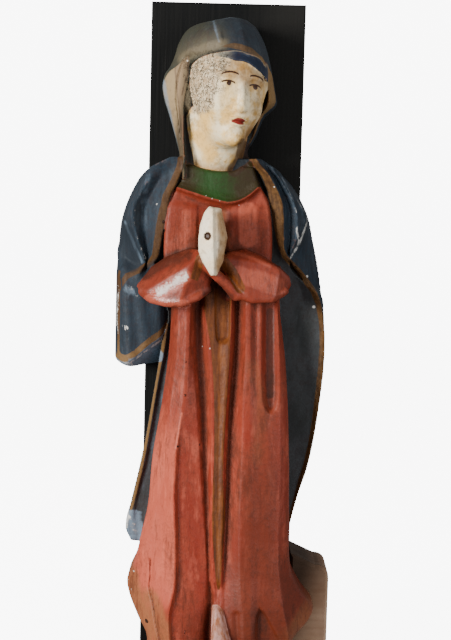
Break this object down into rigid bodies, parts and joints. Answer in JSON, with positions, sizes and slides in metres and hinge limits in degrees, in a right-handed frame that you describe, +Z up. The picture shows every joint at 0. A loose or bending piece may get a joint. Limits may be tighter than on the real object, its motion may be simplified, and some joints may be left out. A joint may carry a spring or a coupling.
{
  "type": "carved praying figure on upright board",
  "caption": "Carved and painted wooden praying figure with a long veil and mantle, fixed to the front of a black upright board that stands in a brown base block.",
  "frame": {"origin": "centre of the base block's underside, on the floor", "axes": "+Z up along the board, -Y towards the front where the figure faces, +X to the viewer's right"},
  "size_m": [0.152, 0.102, 0.458],
  "materials": {
    "carving": "painted in red, dark blue, ochre and off-white and varnished, worn and chipped",
    "board": "black paint, satin, with the grain just showing",
    "base": "brown paint, satin, darker beside the board"
  },
  "bodies": {
    "root": {"praying_figure": "carving", "upright_board": "board", "base_block": "base"}
  },
  "joints": []
}
